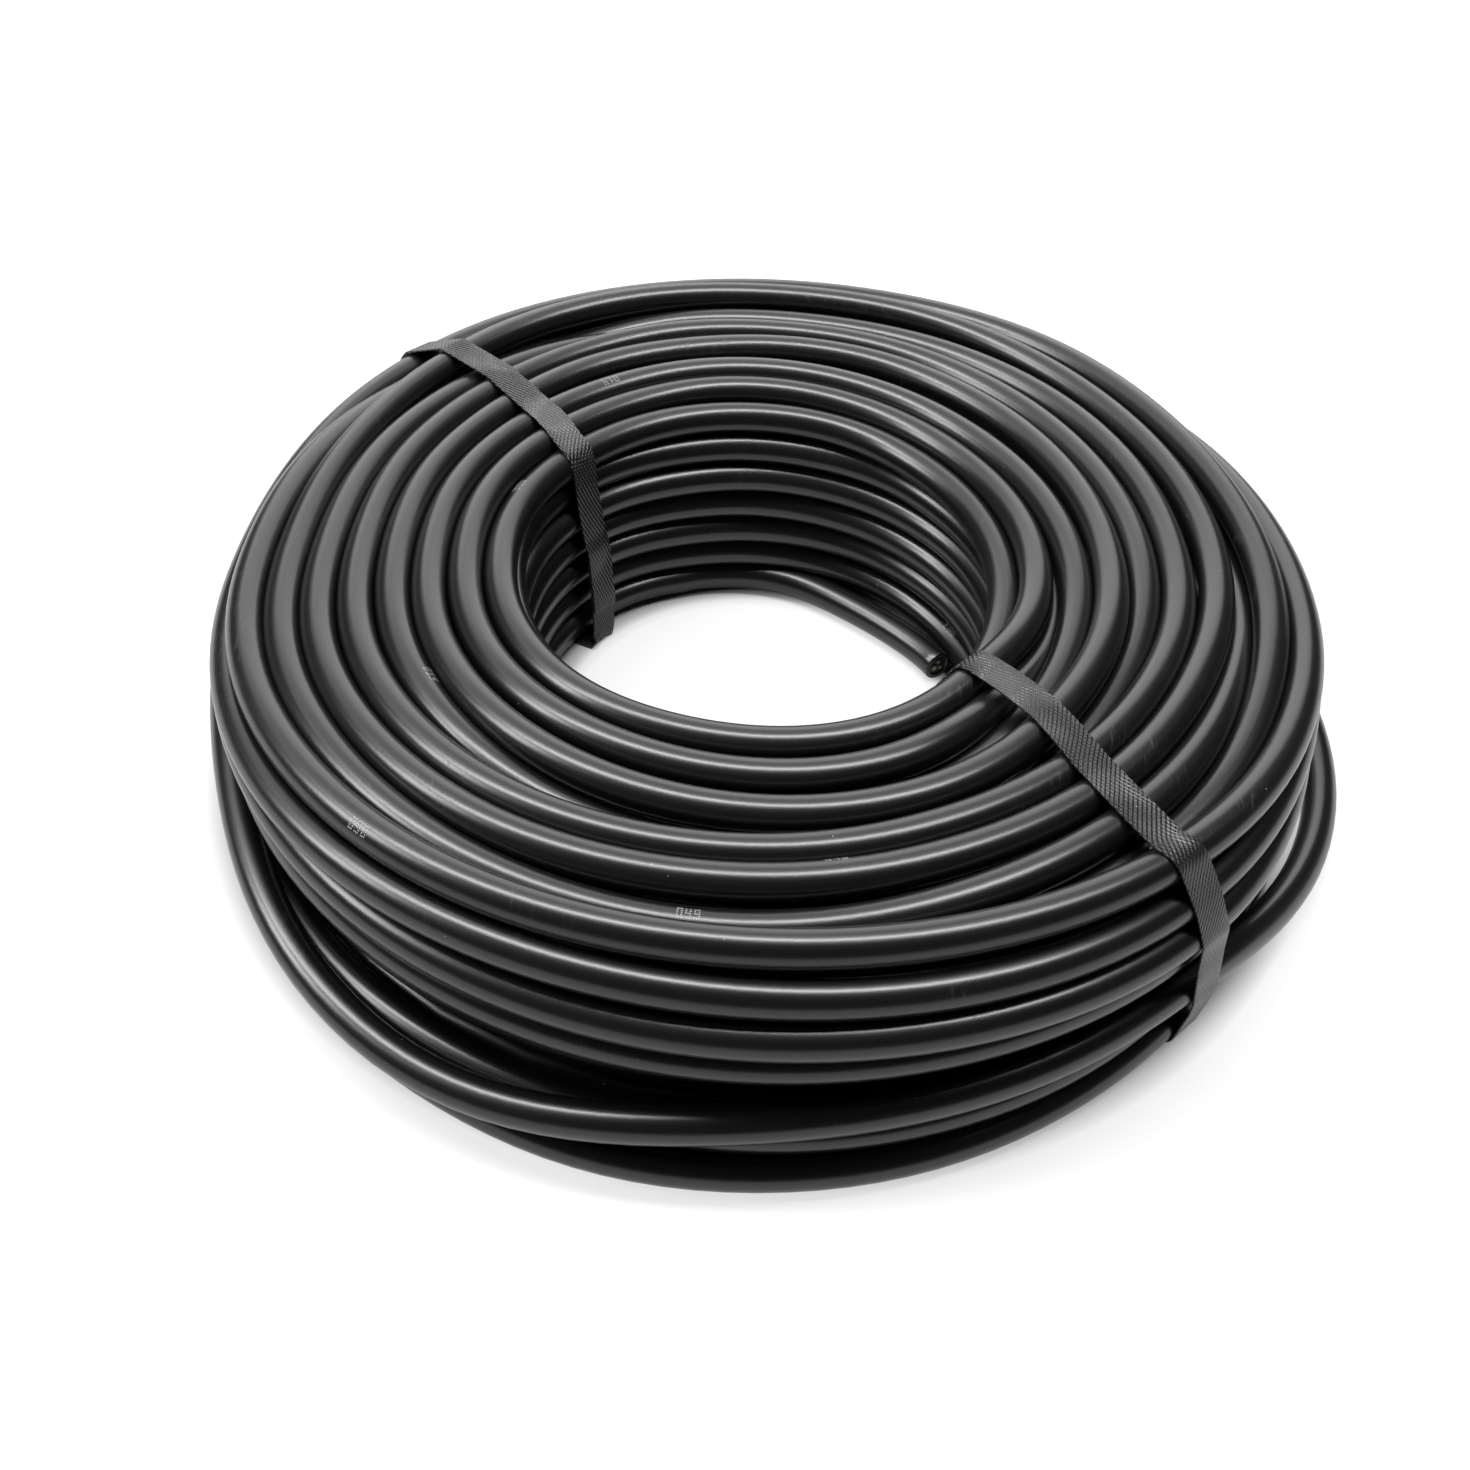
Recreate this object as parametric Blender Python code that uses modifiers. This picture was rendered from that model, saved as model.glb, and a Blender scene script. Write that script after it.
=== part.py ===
"""Coil of round black power cable, held by two plastic straps and lying flat.

Origin: on the floor, on the coil's axis. +Z up, -Y towards the viewer, metres.
The cable is wound as a ring. Its turns show as ridges all round the ring's
section, and the cable's inner end lies loose in the bore. Each strap is a tight
band round the section, welded to itself, and sinks into the turns that it
passes under.
"""
import math

import bpy
import bmesh

# Driving dimensions
CABLE_DIAMETER = 0.012
COIL_HEIGHT = 0.088
TOP_OUTER_DIAMETER = 0.378
FLOOR_OUTER_DIAMETER = 0.408
TOP_BORE_DIAMETER = 0.175
FLOOR_BORE_DIAMETER = 0.163
BORE_EDGE_DROP = 0.005          # how much lower the innermost top turn lies
RING_STEPS = 45                 # flat faces round the ring
STRAP_WIDTH = 0.012
STRAP_THICKNESS = 0.0007
STRAP_LAP_LENGTH = 0.024        # welded overlap, at the foot of the bore
STRAP_LAP_FOOT = 0.010          # height where the overlap starts
BACK_STRAP_FACE = 17            # the flat face of the ring that each strap lies on
FRONT_STRAP_FACE = 39
TOUCH_GAP = 0.0003              # between pieces that touch
SIDE_BULGE = 1.5                # how late the outer side spreads towards the floor

# The loose inner end, from the bore wall to the cut face
INNER_END_ROUTE = [
    (-0.0240, 0.0710, 0.0064),
    (-0.0060, 0.0747, 0.0064),
    (0.0120, 0.0722, 0.0064),
    (0.0300, 0.0622, 0.0065),
    (0.0490, 0.0472, 0.0067),
    (0.0680, 0.0310, 0.0070),
]
INNER_END_POINTS = 16

# Sizes that follow from them
CABLE_RADIUS = CABLE_DIAMETER / 2
CREST_HALF_ANGLE = math.radians(20)
FACE_FACTOR = math.cos(math.pi / RING_STEPS)
FLOOR_LAYER_Z = CABLE_RADIUS * math.cos(CREST_HALF_ANGLE)
TOP_LAYER_Z = COIL_HEIGHT - FLOOR_LAYER_Z


def remove_old_objects():
    for old in list(bpy.data.objects):
        bpy.data.objects.remove(old, do_unlink=True)


def new_collection(name):
    made = bpy.data.collections.new(name)
    bpy.context.scene.collection.children.link(made)
    return made


def new_material(name, colour, roughness):
    material = bpy.data.materials.new(name)
    material.use_nodes = True
    shader = material.node_tree.nodes["Principled BSDF"]
    shader.inputs["Base Color"].default_value = (*colour, 1.0)
    shader.inputs["Roughness"].default_value = roughness
    shader.inputs["Metallic"].default_value = 0.0
    material.diffuse_color = (*colour, 1.0)
    return material


def new_object(name, data, collection, material=None):
    thing = bpy.data.objects.new(name, data)
    collection.objects.link(thing)
    if material:
        data.materials.append(material)
    return thing


def row_of_turns(first, last, bulge=1.0):
    """Centres of the turns from one corner turn up to, and without, the next."""
    length = math.dist(first, last)
    gaps = max(1, round(length / CABLE_DIAMETER))
    centres = []
    for number in range(gaps):
        share = number / gaps
        radius = first[0] + (last[0] - first[0]) * share ** bulge
        height = first[1] + (last[1] - first[1]) * share
        centres.append((radius, height))
    return centres


def section_turns():
    """Turn centres round the ring's section: outer side, floor, bore, top."""
    top_outer = (TOP_OUTER_DIAMETER / 2 - CABLE_RADIUS, TOP_LAYER_Z)
    floor_outer = (FLOOR_OUTER_DIAMETER / 2 - CABLE_RADIUS, FLOOR_LAYER_Z)
    floor_inner = (FLOOR_BORE_DIAMETER / 2 + CABLE_RADIUS, FLOOR_LAYER_Z)
    top_inner = (TOP_BORE_DIAMETER / 2 + CABLE_RADIUS, TOP_LAYER_Z - BORE_EDGE_DROP)
    crown = ((top_inner[0] * 2 + top_outer[0]) / 3, TOP_LAYER_Z)
    centres = row_of_turns(top_outer, floor_outer, SIDE_BULGE)
    centres += row_of_turns(floor_outer, floor_inner)
    centres += row_of_turns(floor_inner, top_inner)
    centres += row_of_turns(top_inner, crown)
    centres += row_of_turns(crown, top_outer)
    return centres


def outward_angle(start, end):
    """Direction that looks out of the section from the line between two turns."""
    return math.atan2(end[1] - start[1], end[0] - start[0]) + math.pi / 2


def ridge_profile(centres):
    """Closed outline of the section, with a crest on each turn and a crease between."""
    outline = []
    count = len(centres)
    for index, centre in enumerate(centres):
        before = centres[index - 1]
        after = centres[(index + 1) % count]
        start = outward_angle(before, centre)
        turn = (outward_angle(centre, after) - start + math.pi) % math.tau - math.pi
        span = abs(turn) + 2 * CREST_HALF_ANGLE
        facets = max(1, math.ceil(span / (2.2 * CREST_HALF_ANGLE)))
        side = 1 if turn > 0 else -1
        if abs(turn) < math.radians(25):
            start += turn / 2
            turn = 0.0
            side = -1
            facets = 1
        first = start - side * CREST_HALF_ANGLE
        last = start + turn + side * CREST_HALF_ANGLE
        for step in range(facets + 1):
            angle = first + (last - first) * step / facets
            outline.append((centre[0] + CABLE_RADIUS * math.cos(angle),
                            centre[1] + CABLE_RADIUS * math.sin(angle)))
        crease = outward_angle(centre, after)
        depth = CABLE_RADIUS * 0.45
        outline.append(((centre[0] + after[0]) / 2 + depth * math.cos(crease),
                        (centre[1] + after[1]) / 2 + depth * math.sin(crease)))
    return outline


def box_mesh(name, low, high):
    mesh = bpy.data.meshes.new(name)
    shape = bmesh.new()
    bmesh.ops.create_cube(shape, size=1.0)
    for vertex in shape.verts:
        for axis in range(3):
            middle = (low[axis] + high[axis]) / 2
            vertex.co[axis] = middle + vertex.co[axis] * (high[axis] - low[axis])
    shape.to_mesh(mesh)
    shape.free()
    return mesh


def strap_angle(face):
    return (face + 0.5) * math.tau / RING_STEPS


def make_coil(parts, cutters, material):
    outline = ridge_profile(section_turns())
    mesh = bpy.data.meshes.new("cable_coil")
    edges = [(index, (index + 1) % len(outline)) for index in range(len(outline))]
    mesh.from_pydata([(radius, 0.0, height) for radius, height in outline], edges, [])
    coil = new_object("cable_coil", mesh, parts, material)
    screw = coil.modifiers.new("turn round the axis", "SCREW")
    screw.axis = "Z"
    screw.angle = math.tau
    screw.steps = RING_STEPS
    screw.render_steps = RING_STEPS
    screw.use_merge_vertices = True
    screw.merge_threshold = 0.00005
    screw.use_smooth_shade = True
    for name, face in (("back", BACK_STRAP_FACE), ("front", FRONT_STRAP_FACE)):
        margin = CABLE_DIAMETER
        half = STRAP_WIDTH / 2 + TOUCH_GAP
        low = (FLOOR_BORE_DIAMETER / 2 - margin, -half, -margin)
        high = (FLOOR_OUTER_DIAMETER / 2 + margin, half, STRAP_THICKNESS + TOUCH_GAP)
        cutter = new_object(f"strap_bed_{name}", box_mesh(f"strap_bed_{name}", low, high), cutters)
        cutter.rotation_euler.z = strap_angle(face)
        cutter.hide_render = True
        cutter.display_type = "WIRE"
        bed = coil.modifiers.new(f"bed of the {name} strap", "BOOLEAN")
        bed.operation = "DIFFERENCE"
        bed.solver = "EXACT"
        bed.object = cutter
    return coil


def tight_path(reach):
    """Outline of a band pulled tight round the turns, this far outside their crests."""
    centres = [(radius * FACE_FACTOR, height) for radius, height in section_turns()]
    path = []
    directions = 48
    for number in range(directions):
        angle = -math.tau * number / directions
        out = (math.cos(angle), math.sin(angle))
        turn = max(centres, key=lambda c: c[0] * out[0] + c[1] * out[1])
        path.append([turn[0] + (CABLE_RADIUS + reach) * out[0],
                     turn[1] + (CABLE_RADIUS + reach) * out[1]])
    return path


def strap_outlines(has_lap):
    """Matching points of the strap's inner and outer face, in radius and height."""
    inner = tight_path(TOUCH_GAP)
    outer = tight_path(TOUCH_GAP + STRAP_THICKNESS)
    pairs = []
    count = len(inner)
    for index in range(count):
        near = inner[index]
        far = outer[index]
        near[1] = max(near[1], STRAP_THICKNESS)
        far[1] = max(far[1], 0.0)
        pairs.append((near, far))
        if not has_lap:
            continue
        after_near = inner[(index + 1) % count]
        after_far = outer[(index + 1) % count]
        top = STRAP_LAP_FOOT + STRAP_LAP_LENGTH
        if far[0] < TOP_BORE_DIAMETER / 2 and far[1] < STRAP_LAP_FOOT and after_far[1] > top:
            run = after_far[1] - far[1]
            for height, layers in ((STRAP_LAP_FOOT, 0), (STRAP_LAP_FOOT, 1), (top, 1), (top, 0)):
                share = (height - far[1]) / run
                extra = STRAP_THICKNESS * layers
                pairs.append((
                    [near[0] + (after_near[0] - near[0]) * share, height],
                    [far[0] + (after_far[0] - far[0]) * share - extra, height]))
    return pairs


def make_strap(name, face, has_lap, parts, material):
    pairs = strap_outlines(has_lap)
    shape = bmesh.new()
    rings = []
    for near, far in pairs:
        ring = [shape.verts.new((near[0], -STRAP_WIDTH / 2, near[1])),
                shape.verts.new((near[0], STRAP_WIDTH / 2, near[1])),
                shape.verts.new((far[0], STRAP_WIDTH / 2, far[1])),
                shape.verts.new((far[0], -STRAP_WIDTH / 2, far[1]))]
        rings.append(ring)
    for index, ring in enumerate(rings):
        after = rings[(index + 1) % len(rings)]
        for corner in range(4):
            other = (corner + 1) % 4
            shape.faces.new((ring[corner], ring[other], after[other], after[corner]))
    bmesh.ops.remove_doubles(shape, verts=shape.verts[:], dist=0.00002)
    bmesh.ops.recalc_face_normals(shape, faces=shape.faces[:])
    mesh = bpy.data.meshes.new(name)
    shape.to_mesh(mesh)
    shape.free()
    strap = new_object(name, mesh, parts, material)
    strap.rotation_euler.z = strap_angle(face)
    return strap


def smooth_route(points, count):
    """Points at even steps of a smooth curve through the chosen ones."""
    last = len(points) - 1
    route = []
    for number in range(count):
        place = last * number / (count - 1)
        index = min(int(place), last - 1)
        share = place - index
        before = points[max(index - 1, 0)]
        start = points[index]
        end = points[index + 1]
        after = points[min(index + 2, last)]
        route.append(tuple(
            0.5 * (2 * start[axis]
                   + (end[axis] - before[axis]) * share
                   + (2 * before[axis] - 5 * start[axis] + 4 * end[axis] - after[axis]) * share ** 2
                   + (3 * start[axis] - before[axis] - 3 * end[axis] + after[axis]) * share ** 3)
            for axis in range(3)))
    return route


def make_inner_end(parts, material):
    curve = bpy.data.curves.new("cable_inner_end", "CURVE")
    curve.dimensions = "3D"
    curve.bevel_depth = CABLE_RADIUS
    curve.bevel_resolution = 3
    curve.use_fill_caps = True
    route = smooth_route(INNER_END_ROUTE, INNER_END_POINTS)
    spline = curve.splines.new("POLY")
    spline.points.add(len(route) - 1)
    for point, place in zip(spline.points, route):
        point.co = (*place, 1.0)
    spline.use_smooth = True
    return new_object("cable_inner_end", curve, parts, material)


remove_old_objects()
parts = new_collection("power_cable_coil")
cutters = new_collection("cutters")
sheath = new_material("sheath_black", (0.012, 0.012, 0.013), 0.42)
sheath_end = new_material("sheath_black_end", (0.012, 0.012, 0.013), 0.42)
back_strap = new_material("strap_black_back", (0.03, 0.03, 0.032), 0.5)
front_strap = new_material("strap_black_front", (0.03, 0.03, 0.032), 0.5)
make_coil(parts, cutters, sheath)
make_inner_end(parts, sheath_end)
make_strap("strap_back", BACK_STRAP_FACE, True, parts, back_strap)
make_strap("strap_front", FRONT_STRAP_FACE, False, parts, front_strap)
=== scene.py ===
"""Looks of the coil of black power cable: one wound cable and its two straps.

+Z up, origin on the floor on the coil's axis, -Y towards the viewer. Sizes here
are in millimetres, and become metres on their way into the meshes.
The cable is one tube from its cut inner end to its outer end. The turns that show
follow drawn points, the turns inside fill the ring in columns,
and a short settling step keeps neighbours from lying in each other.
"""
import math

import bmesh
import bpy
import numpy as np
from mathutils import Matrix, Vector


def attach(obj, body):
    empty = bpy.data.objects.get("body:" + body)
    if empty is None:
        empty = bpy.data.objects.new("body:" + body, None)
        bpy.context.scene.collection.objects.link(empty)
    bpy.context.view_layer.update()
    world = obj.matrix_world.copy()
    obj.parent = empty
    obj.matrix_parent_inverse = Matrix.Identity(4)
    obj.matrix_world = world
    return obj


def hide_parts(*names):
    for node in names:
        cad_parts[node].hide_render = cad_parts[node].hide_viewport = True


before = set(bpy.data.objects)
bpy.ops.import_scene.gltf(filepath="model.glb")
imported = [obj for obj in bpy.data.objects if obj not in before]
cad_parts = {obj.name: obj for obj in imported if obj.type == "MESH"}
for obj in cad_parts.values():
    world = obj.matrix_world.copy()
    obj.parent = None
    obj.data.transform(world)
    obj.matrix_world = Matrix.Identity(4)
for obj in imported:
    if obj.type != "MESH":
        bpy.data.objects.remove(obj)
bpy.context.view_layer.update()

MM = 0.001

# Camera, fitted to the ring's ellipses in the picture
CAMERA_PLACE = (0.0, -475.6, 428.2)      # millimetres
CAMERA_PITCH = -42.55                    # degrees
CAMERA_YAW = -0.95
CAMERA_ROLL = 3.21
CAMERA_LENS = 40.97                      # for a sensor 36 wide

# Cable, millimetres and degrees
CABLE_DIAMETER = 12.0
RING_STEP = 5.0                          # degrees between the places where the turns are settled
RINGS_PER_TURN = round(360 / RING_STEP)
TUBE_SIDES = 20
FIRST_DEGREES = 25.0                     # where the cut inner end lies
LAST_DEGREES = 20285.0                   # where the outer end lies, 56 turns on
SHOWN_STEP = 2.5                         # degrees between rings in the finished tube, where it shows
HIDDEN_STEP = 10.0                       # and where it doesn't
CONTACT_GAP = 0.05                       # left between turns that touch

# The cable's inside at its cut end, millimetres
SHEATH_WALL = 1.8
CORE_RADIUS = 1.5
CORE_RING_RADIUS = 1.76                  # on which the three cores lie
CONDUCTOR_RADIUS = 0.7

# Straps, millimetres
STRAP_WIDTH = 12.0
STRAP_THICKNESS = 0.7
STRAP_STEP = 1.5                         # between the strap's rows
STRAP_COLUMNS = 5                        # of points across the strap
STRAP_GAP = 0.12                         # between the strap and the turns under it
CIRCLE_POINTS = 40                       # round a turn, where a strap's line is found
LINE_SAMPLES = 2000                      # of a strap's line, to find where it starts
LAP_RISE_START = 9.0                     # how far before its own beginning a strap starts to lift over it
LAP_RISE_LENGTH = 7.0
FLOOR_GAP = 0.05
LIFT_GAP = 0.15                          # between a strap on the floor and the turn that lies on it
STRAP_LIFT_SPREAD = 8.0                  # degrees over which that turn rises on to the strap
SECTION_CENTRE = (139.0, 44.0)           # radius and height in the middle of the ring's section
RIB_PITCH = 1.35                         # of the ribs rolled into the strap

# Where each strap lies, in degrees, by its direction round the section's centre
BACK_LIE = [
    (0, 140), (30, 140), (53, 139.5), (86, 139.5), (125, 142), (144, 145.5), (162, 145.5), (184, 144.5),
    (203, 145), (211, 146), (215, 148), (222, 149), (270, 145), (330, 140)]
FRONT_LIE = [
    (3, -46), (25, -47.3), (46, -49), (80, -46.8), (118, -43), (143, -40.3), (180, -40.5),
    (215, -42.5), (270, -45), (320, -44.6), (328, -44.2), (337, -43.8)]

# Bends where a strap stands off the turns: radius, height, bend radius
BACK_BENDS = [(77.5, 2.2, 1.5), (194, 72, 3)]
FRONT_BENDS = [(196.3, 47, 1.0), (195.2, 20, 1.0)]


def new_camera():
    """The camera at the picture's viewing angle, from its fitted place, pitch, yaw and roll."""
    pitch = math.radians(CAMERA_PITCH)
    yaw = math.radians(CAMERA_YAW)
    roll = math.radians(CAMERA_ROLL)
    ahead = Vector((math.sin(yaw) * math.cos(pitch), math.cos(yaw) * math.cos(pitch), math.sin(pitch)))
    level = ahead.cross(Vector((0, 0, 1))).normalized()
    upright = level.cross(ahead)
    across = level * math.cos(roll) + upright * math.sin(roll)
    above = upright * math.cos(roll) - level * math.sin(roll)
    data = bpy.data.cameras.new("view_camera")
    data.sensor_width = 36.0
    data.sensor_fit = "HORIZONTAL"
    data.lens = CAMERA_LENS
    data.clip_start = 0.01
    camera = bpy.data.objects.new("view_camera", data)
    bpy.context.scene.collection.objects.link(camera)
    turn = Matrix((across, above, -ahead)).transposed().to_4x4()
    camera.matrix_world = Matrix.Translation(Vector(CAMERA_PLACE) * MM) @ turn
    bpy.context.scene.camera = camera


# The cable's route: whole degrees along the winding, radius, height of its centre.
# The loose inner end, out of the bore's floor turn
LOOSE_END = [
    (26, 81.5, 6.6), (29, 80, 6.5), (41, 75.6, 6.3), (54.5, 74.4, 6.2), (67.5, 76.4, 6), (81.7, 82, 6),
    (91.8, 84.5, 6), (99, 85, 6), (114.6, 86, 6), (123.7, 87, 6), (136, 88, 6), (170, 88, 6)]

# How a turn of the bore wall climbs to the next one
WALL_CLIMB = [
    (200, 0.5), (240, 1.0), (270, 1.5), (300, 2.0), (330, 2.5), (350, 3.0), (370, 3.5), (395, 6.0),
    (420, 8.5), (445, 11.0), (470, 12.0), (495, 12.1), (520, 12.2)]

# Radius of the bore's wall at the floor, and how far it leans out for each millimetre of height
WALL_RADIUS = 83.8
WALL_LEAN = 0.025
WALL_TURNS = 6
WALL_LAST_DEGREES = 2120                 # where the wall's top turn goes over to the turns on top
FIRST_CLIMB = (370, 460)                 # the floor turn starts its climb late, and has caught up here
TUCKED_TURN = 4                          # counted from 0, tucked under a little at the back
TUCK = 2.5
TUCKED = (400, 540)                      # between these degrees of its own

# How far the bore's wall stands back from a circle, by degrees: the bore is a little wide
WALL_BACK = [
    (0, 4.0), (50, 3.8), (70, 2.2), (85, 0.5), (105, 0.3), (120, 2.5), (138, 5.0), (180, 5.5), (240, 4.5),
    (300, 4.0)]

# The turns on top, drawn as seen from the camera on a surface that rises over 30 mm from this radius
DRAWN_HEIGHT = 80
DRAWN_RISE = 6
DRAWN_FROM = 93
CREST = 4                                # how far a crest as drawn lies above its turn's centre
TOP_FIRST = [
    (2160, 84, 73), (2205, 84, 74), (2235, 90, 75), (2250, 91.5, 76), (2280, 93, 76), (2340, 93, 76),
    (2370, 95, 76.5), (2400, 98, 77), (2430, 98, 77), (2460, 96, 77), (2485, 93, 77), (2520, 94, 77.5),
    (2545, 97, 78), (2565, 100.5, 78.5), (2580, 104, 79), (2595, 107, 79.5), (2610, 109, 80),
    (2625, 110, 80), (2640, 107.5, 80), (2670, 105, 80), (2700, 105, 80), (2730, 109, 80),
    (2760, 113, 80.5), (2790, 115, 80.5), (2820, 112, 79.5), (2845, 104, 74)]
TOP_SECOND = [
    (6420, 119, 72), (6445, 111, 77), (6480, 107, 79.5), (6505, 107, 80), (6525, 108, 80),
    (6540, 111, 80.5), (6555, 114, 81), (6570, 116, 81), (6600, 116.5, 81), (6660, 116, 81),
    (6690, 122.5, 81.5), (6720, 129, 82), (6750, 132, 82), (6780, 129, 82), (6805, 122, 82),
    (6840, 119, 82), (6865, 122, 82), (6900, 131, 82), (6915, 137, 82), (6930, 138, 82),
    (6945, 135, 82), (6960, 134, 82), (6990, 127, 82), (7020, 126, 82), (7050, 133, 81),
    (7070, 138, 79), (7080, 142, 76), (7090, 145, 72)]
TOP_THIRD = [
    (10760, 134, 74), (10780, 131, 79), (10800, 130, 81.5), (10825, 133, 82), (10845, 138, 82),
    (10860, 142, 82), (10875, 146.5, 82), (10890, 147.5, 82), (10905, 149, 82), (10920, 145.5, 82),
    (10950, 140.5, 82), (10980, 138.5, 82), (11010, 147, 82), (11040, 151, 82), (11070, 149, 82),
    (11100, 143, 82), (11140, 141, 82), (11160, 141, 82), (11185, 146, 82), (11205, 151, 82),
    (11220, 153.5, 82), (11235, 154.5, 80.5), (11250, 154, 79), (11265, 153.5, 76)]
TOP_FOURTH = [
    (18832, 153, 78), (18840, 153.5, 79), (18870, 151, 81.5), (18900, 150, 82), (18930, 160, 82),
    (18960, 162.5, 82), (18990, 159.5, 82), (19020, 153, 82), (19045, 153, 82), (19080, 156, 82),
    (19105, 162, 82), (19125, 168, 82.5), (19140, 173.5, 83), (19155, 178.5, 84), (19170, 179, 84),
    (19185, 180, 84), (19200, 177, 83), (19215, 171, 82.5), (19230, 165, 82), (19245, 161, 82),
    (19260, 160, 82), (19290, 171.5, 82), (19320, 177, 80), (19350, 178, 76), (19365, 174, 78),
    (19380, 169, 81), (19405, 165.5, 81), (19420, 162, 79), (19430, 161, 75)]
TOP_OUTER = [
    (14705, 178, 73), (14725, 176, 78), (14740, 172, 81), (14760, 172.5, 82), (14785, 175.5, 82),
    (14800, 180, 81.5)]
TOP_LAST = [
    (19595, 168, 76), (19620, 169, 81), (19650, 178, 82), (19680, 182, 82), (19710, 182.6, 82),
    (19740, 183.5, 82), (19765, 185, 81.5), (19780, 183, 80.5), (19800, 180, 78), (19825, 177, 72)]

# The outer turns, the loose last one and the floor turns, at their real places
OUTER_SHOULDER = [
    (14820, 190, 79), (14835, 193, 77), (14850, 195, 76), (14880, 192.5, 75.5), (14890, 191, 75),
    (14900, 188.5, 74), (14910, 186, 73), (14925, 181, 71), (14940, 179, 70), (14955, 183, 71),
    (14970, 188, 73), (14985, 190.5, 73.5), (15000, 191.5, 73.5), (15030, 191.7, 72)]
OUTER_SIDE = [
    (15060, 192, 70.5), (15075, 191.5, 69), (15110, 187, 66), (15130, 187, 64), (15210, 190, 59),
    (15270, 188, 58), (15300, 184, 59), (15330, 187.5, 59.5), (15345, 191, 60), (15390, 196.9, 60),
    (15435, 195, 58), (15470, 187, 55), (15490, 187, 54), (15570, 194, 48), (15630, 190, 47),
    (15660, 185, 47), (15690, 187, 47.5), (15705, 190, 48), (15750, 195.5, 48), (15795, 191.5, 46),
    (15830, 187, 43), (15850, 187, 42), (15930, 194, 38), (16020, 183, 35), (16050, 184, 34),
    (16110, 188, 34), (16190, 187, 29), (16210, 187, 29), (16290, 197, 24), (16380, 190, 21),
    (16405, 187, 20), (16430, 195, 19), (16470, 199.3, 18), (16510, 196, 17), (16550, 188, 15),
    (16570, 188, 14), (16650, 198, 8), (16740, 192, 6), (16765, 189, 6), (16780, 195, 6),
    (16805, 201, 6), (16820, 204, 6), (16830, 202.5, 6), (16844, 200.7, 6), (16859, 195.5, 6),
    (16871, 191, 6), (16876, 190, 6), (16885, 188, 6), (16930, 187, 6)]
LOOSE_LAST = [
    (19845, 196, 66), (19870, 200, 61), (19890, 201, 57), (19935, 197, 50), (19965, 191, 45),
    (19980, 189, 42), (20000, 187.5, 37.5), (20010, 191.5, 34), (20020, 198.5, 29), (20033, 204.5, 22),
    (20046, 207, 18.5), (20060, 203.5, 24), (20073, 200.6, 30), (20101, 195.5, 30), (20110, 193, 28.5),
    (20116, 191, 26.5), (20126, 195.5, 19), (20133, 200, 13.5), (20140, 204.5, 10), (20150, 209, 6.5),
    (20158.6, 211.5, 6), (20175, 211, 6), (20200, 207, 6), (20230, 205, 6), (20260, 204, 6), (20285, 203, 6)]

# Plain metre numbers in dots, once a metre: rows of three dots, from the top of each digit
DIGITS = {
    "0": "### #.# #.# #.# ###", "1": ".#. ##. .#. .#. ###", "2": "### ..# ### #.. ###",
    "3": "### ..# .## ..# ###", "4": "#.# #.# ### ..# ..#", "5": "### #.. ### ..# ###",
    "6": "### #.. ### #.# ###", "7": "### ..# .#. .#. .#.", "8": "### #.# ### #.# ###",
    "9": "### #.# ### ..# ###"}
FIRST_NUMBER = 3
DOT_STEP = 0.62                          # millimetres between dots along the cable
ROW_STEP = 0.775                         # and across it
DOT_RADIUS = 0.25
DOT_LIFT = 0.02                          # of the ink above the sheath
NUMBER_AT = 0.55                         # metres into each metre

# Turns inside the ring, a column at a time
COLUMN_DOWN_2 = [
    (2900, 104, 69), (3060, 103, 66), (3420, 102, 51), (3780, 101, 36), (4140, 100, 21),
    (4500, 100, 6)]
COLUMN_UP_3 = [
    (4860, 113, 6), (5220, 113, 21), (5580, 114, 36), (5940, 115, 51), (6300, 116, 66),
    (6400, 118, 69)]
COLUMN_DOWN_4 = [
    (7140, 138, 69), (7380, 129, 66), (7740, 128, 51), (8100, 127, 36), (8460, 127, 21),
    (8820, 127, 6)]
COLUMN_UP_5 = [
    (9180, 140, 6), (9540, 140, 21), (9900, 140, 36), (10260, 139, 51), (10620, 138, 66),
    (10740, 136, 71)]
COLUMN_DOWN_6 = [
    (11280, 168, 69), (11300, 162, 65), (11330, 153, 63), (11700, 152, 53), (12060, 153, 37),
    (12420, 154, 21), (12780, 154, 6)]
COLUMN_UP_7 = [
    (13140, 168, 6), (13500, 168, 20), (13860, 167, 35), (14220, 166, 50), (14580, 168, 64),
    (14670, 174, 67)]
COLUMN_UP_8 = [
    (17100, 183, 6), (17460, 180, 20), (17820, 178, 35), (18180, 174, 50), (18540, 168, 64),
    (18720, 163, 70), (18800, 160, 74)]
SUNK_STRETCH = [
    (19445, 166, 71), (19465, 170, 68), (19500, 177, 67), (19540, 179, 69), (19560, 178.5, 71.5),
    (19575, 176, 72.5)]

# Unevenness of the winding: size in millimetres, length and shift of each wave
ACROSS_WAVES = [(0.35, 23.1, 0), (0.25, 9.7, 1), (0.2, 41.3, 2)]
UPWARD_WAVES = [(0.2, 31.7, 0), (0.15, 12.9, 1), (0.12, 55.1, 2)]
WAVER_FROM = 110                         # degrees; the loose end stays as it is drawn
FLOOR_TURN_TOP = 8                       # turns whose centres are lower than this stay level

# The settling step
SETTLE_STEPS = 300
HIDDEN_FIRMNESS = 0.05                   # a turn held less firmly than this is hidden
FIRM_SHARE = 0.88                        # how much less than a hidden turn a firm one gives way
FIRM_PULL = 0.05                         # share of its shift by which it is pulled back at each step
HIDDEN_PULL = 0.002
HIDDEN_TOP = 71.5                        # hidden turns stay below this height
HIDDEN_REACH = (97, 192)                 # and between these radii


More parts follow.
